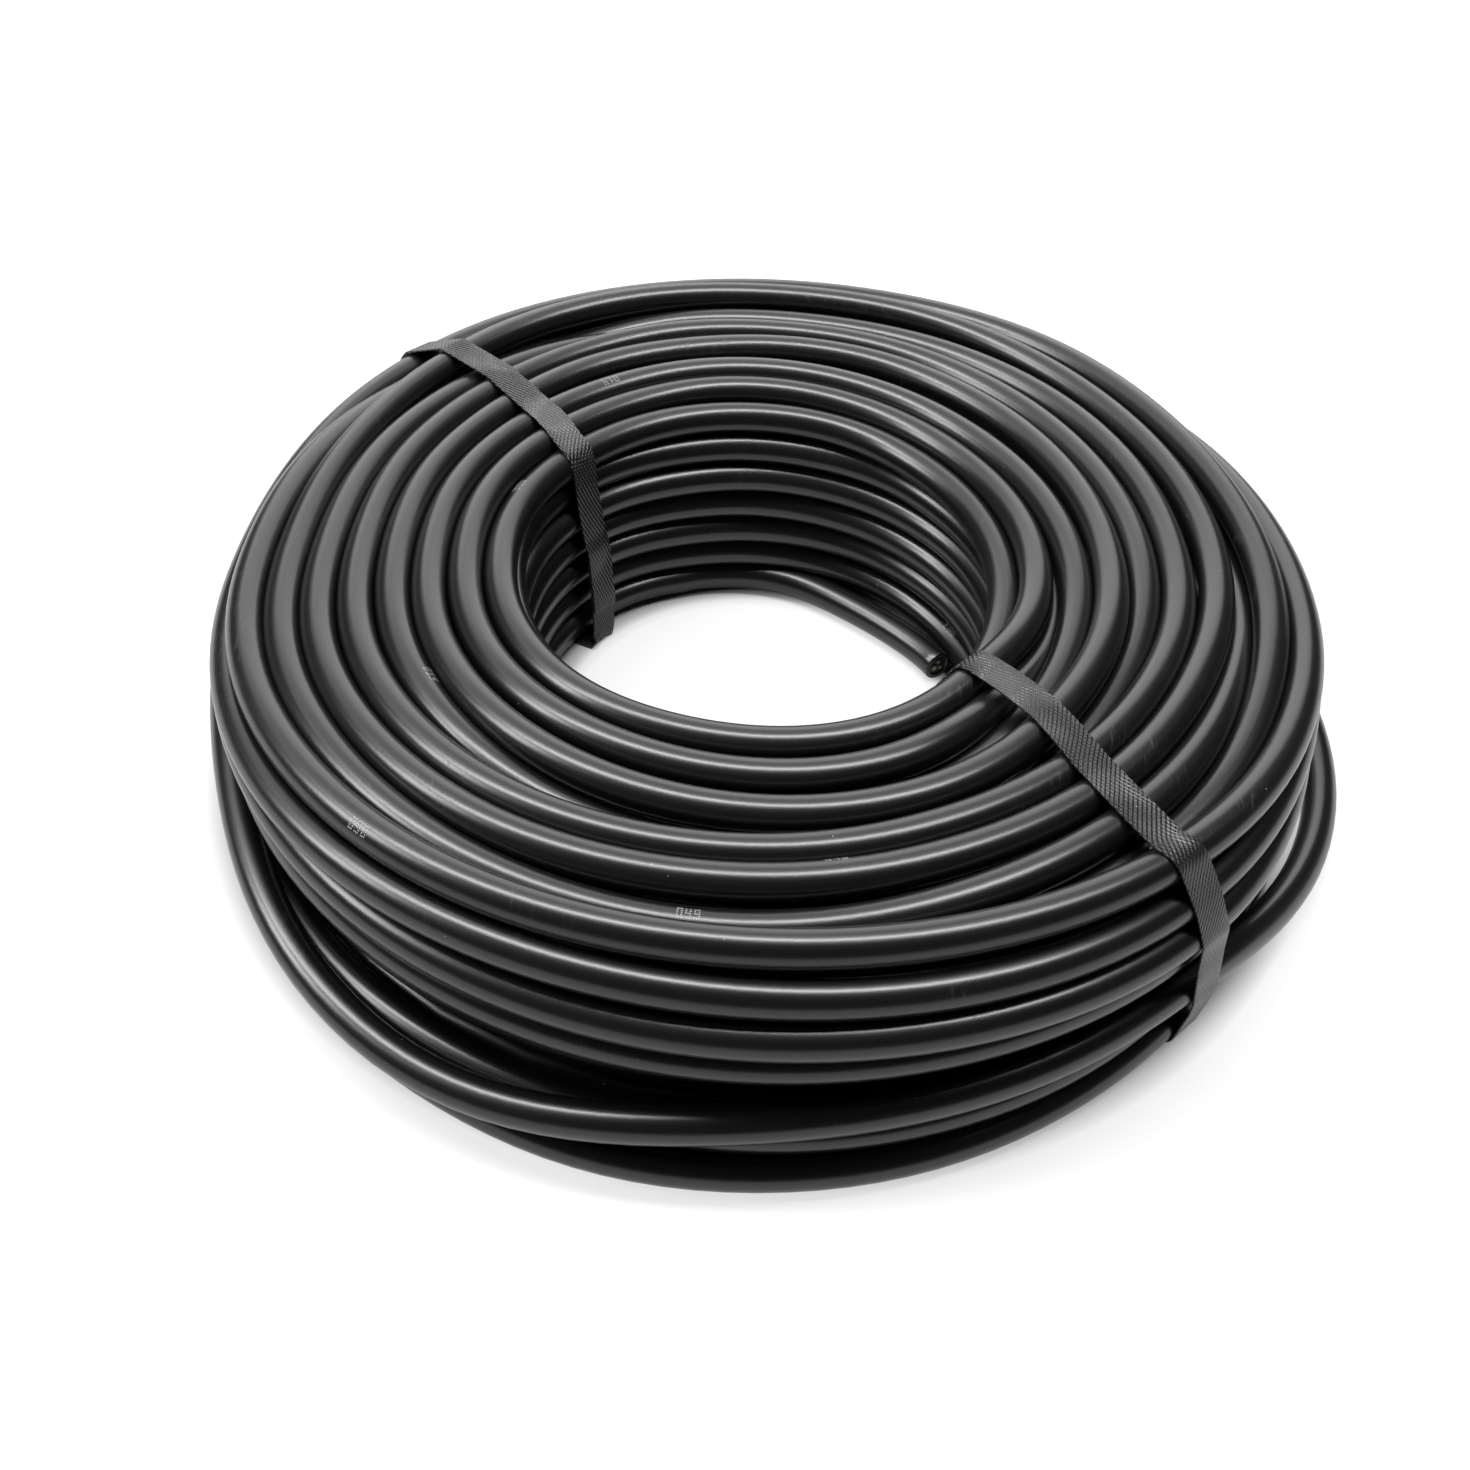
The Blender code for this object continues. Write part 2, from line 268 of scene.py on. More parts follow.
def bore_wall():
    """The six turns of the bore's wall, each climbing to the next at the right."""
    wall_at = [row[0] for row in WALL_BACK]
    wall_back = [row[1] for row in WALL_BACK]
    points = []
    for turn in range(WALL_TURNS):
        for degrees, rise in WALL_CLIMB:
            place = degrees + 360 * turn
            if place > WALL_LAST_DEGREES:
                continue
            if turn == 0 and degrees < FIRST_CLIMB[0]:
                rise = 0
            elif turn == 0 and degrees < FIRST_CLIMB[1]:
                rise = max(rise - 2, 0)
            height = CABLE_DIAMETER * (turn + 0.5) + rise
            back = np.interp(place, wall_at, wall_back, period=360)
            if turn == TUCKED_TURN and TUCKED[0] < degrees < TUCKED[1]:
                back += TUCK
            points.append((place, WALL_RADIUS + WALL_LEAN * height + back, height))
    return points


def under_the_crest(points):
    """Points drawn on the crests of the turns, taken to the turns' centres a little below them.

    The points were drawn on a surface that rises from the bore outwards. Each is moved along the
    camera's line of sight to the height of its own crest."""
    camera = np.array(CAMERA_PLACE)
    moved = []
    for degrees, radius, height in points:
        surface = DRAWN_HEIGHT + DRAWN_RISE * min(max((radius - DRAWN_FROM) / 30, 0), 1)
        angle = math.radians(degrees)
        drawn = np.array((radius * math.cos(angle), radius * math.sin(angle), surface))
        share = (height + CREST - camera[2]) / (surface - camera[2])
        crest = camera + (drawn - camera) * share
        turned = math.degrees(math.atan2(crest[1], crest[0])) - degrees
        turned = (turned + 180) % 360 - 180
        moved.append((degrees + turned, math.hypot(crest[0], crest[1]), height))
    return moved


def whole_route():
    """Every chosen point in order, with how firmly it is held: 1 where it shows, 0 where it is hidden."""
    seen = under_the_crest
    stretches = [
        (LOOSE_END, 1.0), (bore_wall(), 1.0), (seen(TOP_FIRST), 1.0), (COLUMN_DOWN_2, 0.0),
        (COLUMN_UP_3, 0.0), (seen(TOP_SECOND), 1.0), (COLUMN_DOWN_4, 0.0), (COLUMN_UP_5, 0.0),
        (seen(TOP_THIRD), 1.0), (COLUMN_DOWN_6, 0.0), (COLUMN_UP_7, 0.0), (seen(TOP_OUTER), 1.0),
        (OUTER_SHOULDER, 1.0), (OUTER_SIDE, 0.7), (COLUMN_UP_8, 0.0), (seen(TOP_FOURTH), 1.0),
        (SUNK_STRETCH, 0.1), (seen(TOP_LAST), 1.0), (LOOSE_LAST, 1.0)]
    rows = []
    for points, firmness in stretches:
        for degrees, radius, height in points:
            rows.append((degrees, radius, height, firmness))
    rows.sort()
    return np.array(rows)


def smooth_values(known_at, known, wanted):
    """A smooth curve through the chosen values that never passes beyond them."""
    gap = np.diff(known_at)
    slope = np.diff(known) / gap
    before = slope[:-1]
    after = slope[1:]
    near = 2 * gap[1:] + gap[:-1]
    far = gap[1:] + 2 * gap[:-1]
    tangent = np.zeros(len(known))
    same_way = before * after > 0
    safe_before = np.where(same_way, before, 1.0)
    safe_after = np.where(same_way, after, 1.0)
    tangent[1:-1] = np.where(same_way, (near + far) / (near / safe_before + far / safe_after), 0.0)
    tangent[0] = slope[0]
    tangent[-1] = slope[-1]
    place = np.clip(np.searchsorted(known_at, wanted, side="right") - 1, 0, len(gap) - 1)
    t = np.clip((wanted - known_at[place]) / gap[place], 0, 1)
    value = (2 * t ** 3 - 3 * t ** 2 + 1) * known[place]
    value += (t ** 3 - 2 * t ** 2 + t) * gap[place] * tangent[place]
    value += (-2 * t ** 3 + 3 * t ** 2) * known[place + 1]
    value += (t ** 3 - t ** 2) * gap[place] * tangent[place + 1]
    return value


def even_curve(known_at, known, wanted):
    """A smooth curve through evenly spaced values."""
    step = known_at[1] - known_at[0]
    slope = np.gradient(known)
    place = np.clip(((wanted - known_at[0]) / step).astype(int), 0, len(known) - 2)
    t = (wanted - known_at[place]) / step
    value = (2 * t ** 3 - 3 * t ** 2 + 1) * known[place]
    value += (t ** 3 - 2 * t ** 2 + t) * slope[place]
    value += (-2 * t ** 3 + 3 * t ** 2) * known[place + 1]
    value += (t ** 3 - t ** 2) * slope[place + 1]
    return value


def lowest_centre(degrees):
    """A turn on the floor, lifted where a strap passes under it."""
    lowest = np.full(len(degrees), CABLE_DIAMETER / 2)
    for lie in (BACK_LIE, FRONT_LIE):
        under = np.mean([angle for way, angle in lie if 210 < way < 330])
        away = (degrees - under + 180) % 360 - 180
        lowest += (STRAP_THICKNESS + LIFT_GAP) * np.exp(-(away / STRAP_LIFT_SPREAD) ** 2)
    return lowest


def settle_turns(radius, height, firmness, first_ring, lowest):
    """Push turns that would lie in each other apart, the hidden ones most.

    All turns that pass the same degrees are compared with each other. A firm turn gives way little
    and is pulled back to its drawn place, and each turn's shift is evened out along it."""
    count = len(radius)
    turns = math.ceil((first_ring + count) / RINGS_PER_TURN)
    cells = turns * RINGS_PER_TURN
    own = slice(first_ring, first_ring + count)
    used = np.zeros(cells, bool)
    used[own] = True
    used = used.reshape(turns, RINGS_PER_TURN)
    freedom = np.zeros(cells)
    freedom[own] = 1.0 - FIRM_SHARE * firmness
    freedom = freedom.reshape(turns, RINGS_PER_TURN)
    share = freedom[:, None, :] / (freedom[:, None, :] + freedom[None, :, :] + 1e-9)
    pairs = used[:, None, :] & used[None, :, :]
    for turn in range(turns):
        pairs[turn, turn, :] = False
    hold = np.where(firmness > 0.01, FIRM_PULL * firmness, HIDDEN_PULL)
    hidden = firmness < HIDDEN_FIRMNESS
    contact = CABLE_DIAMETER + CONTACT_GAP
    start_radius = radius.copy()
    start_height = height.copy()
    table = np.zeros((2, cells))
    for step in range(SETTLE_STEPS):
        table[0, own] = radius
        table[1, own] = height
        across = table[0].reshape(turns, RINGS_PER_TURN)
        upward = table[1].reshape(turns, RINGS_PER_TURN)
        across = across[:, None, :] - across[None, :, :]
        upward = upward[:, None, :] - upward[None, :, :]
        distance = np.sqrt(across ** 2 + upward ** 2) + 1e-6
        push = np.where(pairs, np.clip(contact - distance, 0, None), 0.0) * share / distance
        radius = radius + 0.7 * (push * across).sum(axis=1).reshape(-1)[own]
        height = height + 0.7 * (push * upward).sum(axis=1).reshape(-1)[own]
        radius += hold * (start_radius - radius)
        height += hold * (start_height - height)
        height = np.where(hidden, np.minimum(height, HIDDEN_TOP), height)
        radius = np.where(hidden, np.clip(radius, *HIDDEN_REACH), radius)
        for evening in range(2):
            for moved, start in ((radius, start_radius), (height, start_height)):
                shift = moved - start
                shift[1:-1] += 0.3 * (shift[:-2] + shift[2:] - 2 * shift[1:-1])
                moved[:] = start + shift
        height = np.maximum(height, lowest)
    return radius, height


def waver(degrees, waves):
    """A hand-wound unevenness: a few long waves along the winding, in millimetres."""
    return sum(size * np.sin(degrees / length + shift) for size, length, shift in waves)


def cable_route():
    """Degrees, radius and height of each ring of the tube, and its points in metres."""
    rows = whole_route()
    degrees = np.arange(FIRST_DEGREES, LAST_DEGREES + 1, RING_STEP)
    radius = smooth_values(rows[:, 0], rows[:, 1], degrees)
    height = smooth_values(rows[:, 0], rows[:, 2], degrees)
    firmness = np.interp(degrees, rows[:, 0], rows[:, 3])
    for evening in range(4):
        for values in (radius, height):
            values[1:-1] += 0.25 * (values[:-2] + values[2:] - 2 * values[1:-1])
    radius = radius + waver(degrees, ACROSS_WAVES) * (degrees > WAVER_FROM)
    height = height + waver(degrees, UPWARD_WAVES) * (height > FLOOR_TURN_TOP)
    first_ring = round(FIRST_DEGREES / RING_STEP)
    radius, height = settle_turns(radius, height, firmness, first_ring, lowest_centre(degrees))
    finer = [degrees[0]]
    while finer[-1] < degrees[-1] - 0.01:
        shows = np.interp(finer[-1], degrees, firmness) > HIDDEN_FIRMNESS
        finer.append(min(finer[-1] + (SHOWN_STEP if shows else HIDDEN_STEP), degrees[-1]))
    finer = np.array(finer)
    radius = even_curve(degrees, radius, finer)
    height = even_curve(degrees, height, finer)
    angle = np.radians(finer)
    points = np.stack((radius * np.cos(angle), radius * np.sin(angle), height), axis=-1) * MM
    return finer, radius, height, points


def tube_mesh(name, points, diameter, sides):
    """A tube along the points, open at its ends, with metres along it and turns round it as UV."""
    count = len(points)
    steps = np.linalg.norm(np.diff(points, axis=0), axis=1)
    along = np.concatenate(([0.0], np.cumsum(steps)))
    tangent = np.gradient(points, along, axis=0)
    tangent /= np.linalg.norm(tangent, axis=1)[:, None]
    sideways = np.cross(tangent, (0.0, 0.0, 1.0))
    sideways /= np.linalg.norm(sideways, axis=1)[:, None]
    upward = np.cross(sideways, tangent)
    turn = np.arange(sides) * math.tau / sides
    ring = sideways[:, None, :] * np.cos(turn)[None, :, None]
    ring += upward[:, None, :] * np.sin(turn)[None, :, None]
    places = points[:, None, :] + ring * diameter / 2
    vertices = places.reshape(-1, 3)
    row = np.arange(count - 1)[:, None] * sides
    side = np.arange(sides)[None, :]
    beside = (side + 1) % sides
    faces = np.stack((row + side, row + sides + side, row + sides + beside, row + beside), axis=-1)
    faces = faces.reshape(-1, 4)
    mesh = bpy.data.meshes.new(name)
    mesh.from_pydata(vertices.tolist(), [], faces.tolist())
    layer = mesh.uv_layers.new(name="UVMap")
    near = along[:-1, None] + 0 * side
    far = along[1:, None] + 0 * side
    low = (side + 0 * row) / sides
    high = (side + 1 + 0 * row) / sides
    uv = np.stack((near, low, far, low, far, high, near, high), axis=-1)
    layer.data.foreach_set("uv", uv.reshape(-1).astype(np.float32))
    mesh.polygons.foreach_set("use_smooth", np.ones(len(faces), bool))
    mesh.update()
    return mesh


def turns_across(winding, lie, sideways):
    """Centres of all turns where a strap crosses them, a little to one side of its middle."""
    degrees, radius, height = winding
    towards = np.array([row[0] for row in lie], float)
    angles = np.array([row[1] for row in lie], float)
    turn = np.arange(-1, LAST_DEGREES // 360 + 2) * 360.0
    at = np.full(len(turn), angles.mean())
    for step in range(6):
        across = np.interp(at + turn, degrees, radius)
        upward = np.interp(at + turn, degrees, height)
        way = np.degrees(np.arctan2(upward - SECTION_CENTRE[1], across - SECTION_CENTRE[0]))
        at = np.interp(way, towards, angles, period=360) + np.degrees(sideways / across)
    inside = (at + turn > degrees[0]) & (at + turn < degrees[-1])
    return np.stack((across, upward), axis=-1)[inside]


def tight_line(points):
    """The convex outline round points in a plane, anticlockwise."""
    ordered = sorted(set(map(tuple, np.round(points, 4).tolist())))
    halves = []
    for run in (ordered, ordered[::-1]):
        half = []
        for point in run:
            while len(half) > 1:
                ax, ay = half[-2]
                bx, by = half[-1]
                if (bx - ax) * (point[1] - ay) - (by - ay) * (point[0] - ax) > 0:
                    break
                half.pop()
            half.append(point)
        halves.append(half[:-1])
    return np.array(halves[0] + halves[1])


def strap_line(winding, lie, bends):
    """The tight line of a strap round the turns, in radius and height, as a closed loop."""
    turn = np.arange(CIRCLE_POINTS) * math.tau / CIRCLE_POINTS
    circle = np.stack((np.cos(turn), np.sin(turn)), axis=-1)
    outline = []
    for sideways in (-0.5 * STRAP_WIDTH, 0.0, 0.5 * STRAP_WIDTH):
        centres = turns_across(winding, lie, sideways)
        outline.append((centres[:, None, :] + circle * (CABLE_DIAMETER / 2 + STRAP_GAP)).reshape(-1, 2))
    for across, upward, bend in bends:
        outline.append(np.array((across, upward)) + circle * bend)
    line = tight_line(np.concatenate(outline))
    line[:, 1] = np.maximum(line[:, 1], STRAP_THICKNESS + FLOOR_GAP)
    return line


def strap_path(line, lie, start_height, lap):
    """Rows of a strap in millimetres: its middle, its way across, and how far along it they lie.

    It starts in the bore at start_height, goes down and under the ring first, and comes round
    to lie over its own beginning for the length of the lap."""
    loop = np.vstack((line, line[:1]))
    steps = np.linalg.norm(np.diff(loop, axis=0), axis=1)
    along = np.concatenate(([0.0], np.cumsum(steps)))
    around = along[-1]
    finding = np.linspace(0, around, LINE_SAMPLES, endpoint=False)
    across = np.interp(finding, along, loop[:, 0])
    upward = np.interp(finding, along, loop[:, 1])
    in_bore = np.where(across < SECTION_CENTRE[0] - 30, np.abs(upward - start_height), np.inf)
    start = finding[np.argmin(in_bore)]
    count = round((around + lap) / STRAP_STEP)
    run = np.linspace(0, around + lap, count + 1)
    if lap == 0:
        run = run[:-1]
    place = (start + run) % around
    flat = np.stack((np.interp(place, along, loop[:, 0]), np.interp(place, along, loop[:, 1])), axis=-1)
    ahead = np.stack((np.interp((place + 0.5) % around, along, loop[:, 0]),
                      np.interp((place + 0.5) % around, along, loop[:, 1])), axis=-1)
    way = ahead - flat
    way /= np.linalg.norm(way, axis=1)[:, None]
    outward = np.stack((way[:, 1], -way[:, 0]), axis=-1)
    over = np.clip((run - around + LAP_RISE_START) / LAP_RISE_LENGTH, 0, 1)
    over = over * over * (3 - 2 * over)
    flat = flat + outward * (over * (STRAP_THICKNESS + 0.08) * (lap > 0))[:, None]
    towards = np.array([row[0] for row in lie], float)
    angles = np.array([row[1] for row in lie], float)
    look = np.degrees(np.arctan2(flat[:, 1] - SECTION_CENTRE[1], flat[:, 0] - SECTION_CENTRE[0]))
    angle = np.radians(np.interp(look, towards, angles, period=360))
    middle = np.stack((flat[:, 0] * np.cos(angle), flat[:, 0] * np.sin(angle), flat[:, 1]), axis=-1)
    if lap == 0:
        tangent = np.roll(middle, -1, axis=0) - np.roll(middle, 1, axis=0)
    else:
        tangent = np.gradient(middle, axis=0)
    tangent /= np.linalg.norm(tangent, axis=1)[:, None]
    sideways = np.stack((-np.sin(angle), np.cos(angle), 0 * angle), axis=-1)
    sideways -= (sideways * tangent).sum(axis=1)[:, None] * tangent
    sideways /= np.linalg.norm(sideways, axis=1)[:, None]
    return middle, sideways, run


def make_strap(name, node, material, winding, lie, bends, start_height, lap):
    """One flat strap: a grid laid along its tight line, given its thickness and soft edges."""
    line = strap_line(winding, lie, bends)
    middle, sideways, run = strap_path(line, lie, start_height, lap)
    closed = lap == 0
    rows = len(middle)
    columns = STRAP_COLUMNS
    bpy.ops.object.select_all(action="DESELECT")
    bpy.ops.mesh.primitive_grid_add(x_subdivisions=columns - 1, y_subdivisions=rows - 1, size=0.1)
    strap = bpy.context.object
    strap.name = name
    mesh = strap.data
    mesh.name = name
    across = np.linspace(-0.5, 0.5, columns) * STRAP_WIDTH
    places = middle[:, None, :] + sideways[:, None, :] * across[None, :, None]
    mesh.vertices.foreach_set("co", (places.reshape(-1, 3) * MM).ravel())
    corner = np.zeros(len(mesh.loops), np.int32)
    mesh.loops.foreach_get("vertex_index", corner)
    layer = mesh.uv_layers[0]
    layer.name = "UVMap"
    uv = np.stack((run[corner // columns], across[corner % columns]), axis=-1) * MM
    layer.data.foreach_set("uv", uv.astype(np.float32).ravel())
    mesh.update()
    shape = bmesh.new()
    shape.from_mesh(mesh)
    shape.verts.ensure_lookup_table()
    if closed:
        last = (rows - 1) * columns
        uv_layer = shape.loops.layers.uv.active
        for column in range(columns - 1):
            corners = (last + column, last + column + 1, column + 1, column)
            face = shape.faces.new([shape.verts[corner] for corner in corners])
            for loop, beside, ahead in zip(face.loops, (0, 1, 1, 0), (0, 0, 1, 1)):
                loop[uv_layer].uv = ((run[-1] + ahead * STRAP_STEP) * MM, across[column + beside] * MM)
    shape.normal_update()
    shape.faces.ensure_lookup_table()
    face = shape.faces[(rows // 2) * (columns - 1)]
    centre = Vector((0, 0, SECTION_CENTRE[1] * MM))
    flat = face.calc_center_median()
    centre.xy = flat.xy.normalized() * SECTION_CENTRE[0] * MM
    if face.normal.dot(flat - centre) < 0:
        bmesh.ops.reverse_faces(shape, faces=shape.faces[:])
    shape.to_mesh(mesh)
    shape.free()
    wall = strap.modifiers.new("wall", "SOLIDIFY")
    wall.thickness = STRAP_THICKNESS * MM
    wall.offset = 1.0
    wall.use_even_offset = True
    edges = strap.modifiers.new("edges", "BEVEL")
    edges.width = 0.16 * MM
    edges.segments = 2
    edges.limit_method = "ANGLE"
    edges.angle_limit = math.radians(55)
    bpy.ops.object.modifier_apply(modifier="wall")
    for vertex in mesh.vertices:
        vertex.co.z = max(vertex.co.z, FLOOR_GAP * MM)
    bpy.ops.object.modifier_apply(modifier="edges")
    bpy.ops.object.shade_smooth_by_angle(angle=math.radians(40))
    mesh.materials.clear()
    mesh.materials.append(material)
    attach(strap, "root")
    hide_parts(node)


def new_piece(name, mesh, material):
    """An object of its own for a mesh, fixed to the root."""
    piece = bpy.data.objects.new(name, mesh)
    bpy.context.scene.collection.objects.link(piece)
    mesh.materials.append(material)
    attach(piece, "root")
    return piece


def close_end(mesh, first_vertex, sides, at_start, recess):
    """A cut end: the sheath's edge slightly rounded, and inside it a flat floor, set back by the recess."""
    shape = bmesh.new()
    shape.from_mesh(mesh)
    shape.verts.ensure_lookup_table()
    ring = [shape.verts[first_vertex + side] for side in range(sides)]
    centre = sum((vertex.co for vertex in ring), Vector()) / sides
    spokes = [vertex.co - centre for vertex in ring]
    way = spokes[0].cross(spokes[sides // 4]).normalized()
    if not at_start:
        way = -way
    inner = CABLE_DIAMETER / 2 - SHEATH_WALL
    outer = CABLE_DIAMETER / 2
    steps = ((outer - 0.06, 0.14), (outer - 0.2, 0.2), (inner + 0.15, 0.2), (inner, 0.1), (inner, -recess))
    for radius, shift in steps:
        corners = []
        for spoke in spokes:
            corners.append(shape.verts.new(centre + spoke * radius / outer + way * shift * MM))
        for side in range(sides):
            beside = (side + 1) % sides
            corner = [ring[side], ring[beside], corners[beside], corners[side]]
            face = shape.faces.new(corner if at_start else corner[::-1])
            face.smooth = True
        ring = corners
    face = shape.faces.new(ring if at_start else ring[::-1])
    face.smooth = False
    shape.to_mesh(mesh)
    shape.free()
    return centre, way


def round_bar(name, place, way, radius, start, depth, soft, material):
    """A short round bar along a way, from start to start plus depth, with a softened edge."""
    bpy.ops.object.select_all(action="DESELECT")
    middle = place + way * (start + depth / 2) * MM
    bpy.ops.mesh.primitive_cylinder_add(vertices=24, radius=radius * MM, depth=depth * MM, location=middle,
                                        rotation=way.to_track_quat("Z", "Y").to_euler())
    bar = bpy.context.object
    bar.name = name
    bar.data.name = name
    bpy.ops.object.transform_apply(location=True, rotation=True, scale=True)
    edges = bar.modifiers.new("edges", "BEVEL")
    edges.width = soft * MM
    edges.segments = 2
    edges.limit_method = "ANGLE"
    edges.angle_limit = math.radians(50)
    bpy.ops.object.modifier_apply(modifier="edges")
    bpy.ops.object.shade_smooth_by_angle(angle=math.radians(35))
    bar.data.materials.append(material)
    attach(bar, "root")


def make_cut_face(place, way):
    """The cable's inside at its cut inner end: filling and three insulated solid conductors.

    Each bar starts some way inside the sheath and ends a little short of the sheath's edge."""
    filling = plain_material("core_filling", (0.010, 0.010, 0.010), 0.6, 0.0, 900.0, 0.00004)
    room = CABLE_DIAMETER / 2 - SHEATH_WALL - 0.02
    round_bar("core_filling", place, way, room, -4.0, 3.55, 0.1, filling)
    metal = plain_material("conductor_copper", (0.42, 0.33, 0.27), 0.32, 1.0, 1500.0, 0.00002)
    tones = {"brown": (0.030, 0.020, 0.015), "blue": (0.018, 0.024, 0.040), "green": (0.060, 0.070, 0.030)}
    level = way.cross(Vector((0, 0, 1))).normalized()
    upright = level.cross(way)
    for index, (tone, colour) in enumerate(tones.items()):
        turn = math.radians(100 + 120 * index)
        middle = place + (level * math.cos(turn) + upright * math.sin(turn)) * CORE_RING_RADIUS * MM
        cover = plain_material("core_" + tone, colour, 0.45, 0.0, 1200.0, 0.00002)
        depth = 3.35 + 0.1 * index
        round_bar("core_" + tone, middle, way, CORE_RADIUS, -3.5, depth, 0.12, cover)
        depth = 3.1 + 0.12 * index
        round_bar("conductor_" + tone, middle, way, CONDUCTOR_RADIUS, -3.0, depth, 0.08, metal)


def new_material(name):
    """A material, its node tree and its shader."""
    material = bpy.data.materials.new(name)
    material.use_nodes = True
    tree = material.node_tree
    return material, tree, tree.nodes["Principled BSDF"]


def mapped(tree, place, rotation, scale):
    """A coordinate turned and scaled."""
    mapping = tree.nodes.new("ShaderNodeMapping")
    mapping.inputs["Rotation"].default_value = rotation
    mapping.inputs["Scale"].default_value = scale
    tree.links.new(place, mapping.inputs["Vector"])
    return mapping.outputs["Vector"]


def noise(tree, place, scale, detail):
    """Soft noise on a coordinate."""
    texture = tree.nodes.new("ShaderNodeTexNoise")
    texture.inputs["Scale"].default_value = scale
    texture.inputs["Detail"].default_value = detail
    tree.links.new(place, texture.inputs["Vector"])
    return texture.outputs["Fac"]


def ranged(tree, value, low, high, start, end):
    """A value's range from low to high, taken to start and end."""
    node = tree.nodes.new("ShaderNodeMapRange")
    for name, amount in (("From Min", low), ("From Max", high), ("To Min", start), ("To Max", end)):
        node.inputs[name].default_value = amount
    tree.links.new(value, node.inputs["Value"])
    return node.outputs["Result"]


def reckoned(tree, operation, *values):
    """A math node on outputs and plain numbers."""
    node = tree.nodes.new("ShaderNodeMath")
    node.operation = operation
    for index, value in enumerate(values):
        if isinstance(value, float):
            node.inputs[index].default_value = value
        else:
            tree.links.new(value, node.inputs[index])
    return node.outputs["Value"]


def blend_colour(tree, shader, factor, first, second):
    """The shader's colour, from the first to the second by a factor."""
    tint = tree.nodes.new("ShaderNodeMix")
    tint.data_type = "RGBA"
    tint.inputs["A"].default_value = first + (1,)
    tint.inputs["B"].default_value = second + (1,)
    tree.links.new(factor, tint.inputs["Factor"])
    tree.links.new(tint.outputs["Result"], shader.inputs["Base Color"])


def add_bump(tree, shader, height, depth):
    """Fine relief on the shader, its depth in metres."""
    bump = tree.nodes.new("ShaderNodeBump")
    bump.inputs["Distance"].default_value = depth
    tree.links.new(height, bump.inputs["Height"])
    tree.links.new(bump.outputs["Normal"], shader.inputs["Normal"])
    return bump


def plain_material(name, colour, roughness, metallic, grain, depth):
    """A plain plastic or metal with a fine grain that breaks its colour and its surface."""
    material, tree, shader = new_material(name)
    shader.inputs["Roughness"].default_value = roughness
    shader.inputs["Metallic"].default_value = metallic
    place = tree.nodes.new("ShaderNodeTexCoord").outputs["Object"]
    fine = noise(tree, place, grain, 3.0)
    darker = tuple(0.75 * part for part in colour)
    lighter = tuple(1.25 * part for part in colour)
    blend_colour(tree, shader, fine, darker, lighter)
    add_bump(tree, shader, fine, depth)
    return material


def handling_marks():
    """Shared by the sheath and the straps: dust specks and short scuffs, as two masks."""
    group = bpy.data.node_groups.new("handling_marks", "ShaderNodeTree")
    group.interface.new_socket("Place", in_out="INPUT", socket_type="NodeSocketVector")
    group.interface.new_socket("Dust", in_out="INPUT", socket_type="NodeSocketFloat")
    group.interface.new_socket("Specks", in_out="OUTPUT", socket_type="NodeSocketFloat")
    group.interface.new_socket("Scuffs", in_out="OUTPUT", socket_type="NodeSocketFloat")
    entry = group.nodes.new("NodeGroupInput")
    leave = group.nodes.new("NodeGroupOutput")
    place = entry.outputs["Place"]

    # A speck sits in the middle of a few of the cells
    cells = group.nodes.new("ShaderNodeTexVoronoi")
    cells.inputs["Scale"].default_value = 420.0
    group.links.new(place, cells.inputs["Vector"])
    chance = group.nodes.new("ShaderNodeSeparateColor")
    group.links.new(cells.outputs["Color"], chance.inputs["Color"])
    few = reckoned(group, "LESS_THAN", chance.outputs["Red"], entry.outputs["Dust"])
    small = ranged(group, cells.outputs["Distance"], 0.05, 0.10, 1.0, 0.0)
    group.links.new(reckoned(group, "MULTIPLY", few, small), leave.inputs["Specks"])

    # Scuffs are fine lines that show in patches
    lines = mapped(group, place, (0.3, 0.2, 0.6), (1400.0, 160.0, 160.0))
    sharp = ranged(group, noise(group, lines, 1.0, 2.0), 0.58, 0.72, 0.0, 1.0)
    where = ranged(group, noise(group, place, 26.0, 1.0), 0.58, 0.70, 0.0, 1.0)
    group.links.new(reckoned(group, "MULTIPLY", sharp, where), leave.inputs["Scuffs"])
    return group


def add_marks(tree, group, dust):
    """The shared marks on one material, by the object's own coordinates."""
    place = tree.nodes.new("ShaderNodeTexCoord").outputs["Object"]
    marks = tree.nodes.new("ShaderNodeGroup")
    marks.node_tree = group
    marks.inputs["Dust"].default_value = dust
    tree.links.new(place, marks.inputs["Place"])
    return place, marks.outputs["Specks"], marks.outputs["Scuffs"]


def own_uv(tree):
    """The mesh's own coordinates, in metres along it."""
    uv = tree.nodes.new("ShaderNodeUVMap")
    uv.uv_map = "UVMap"
    return uv.outputs["UV"]


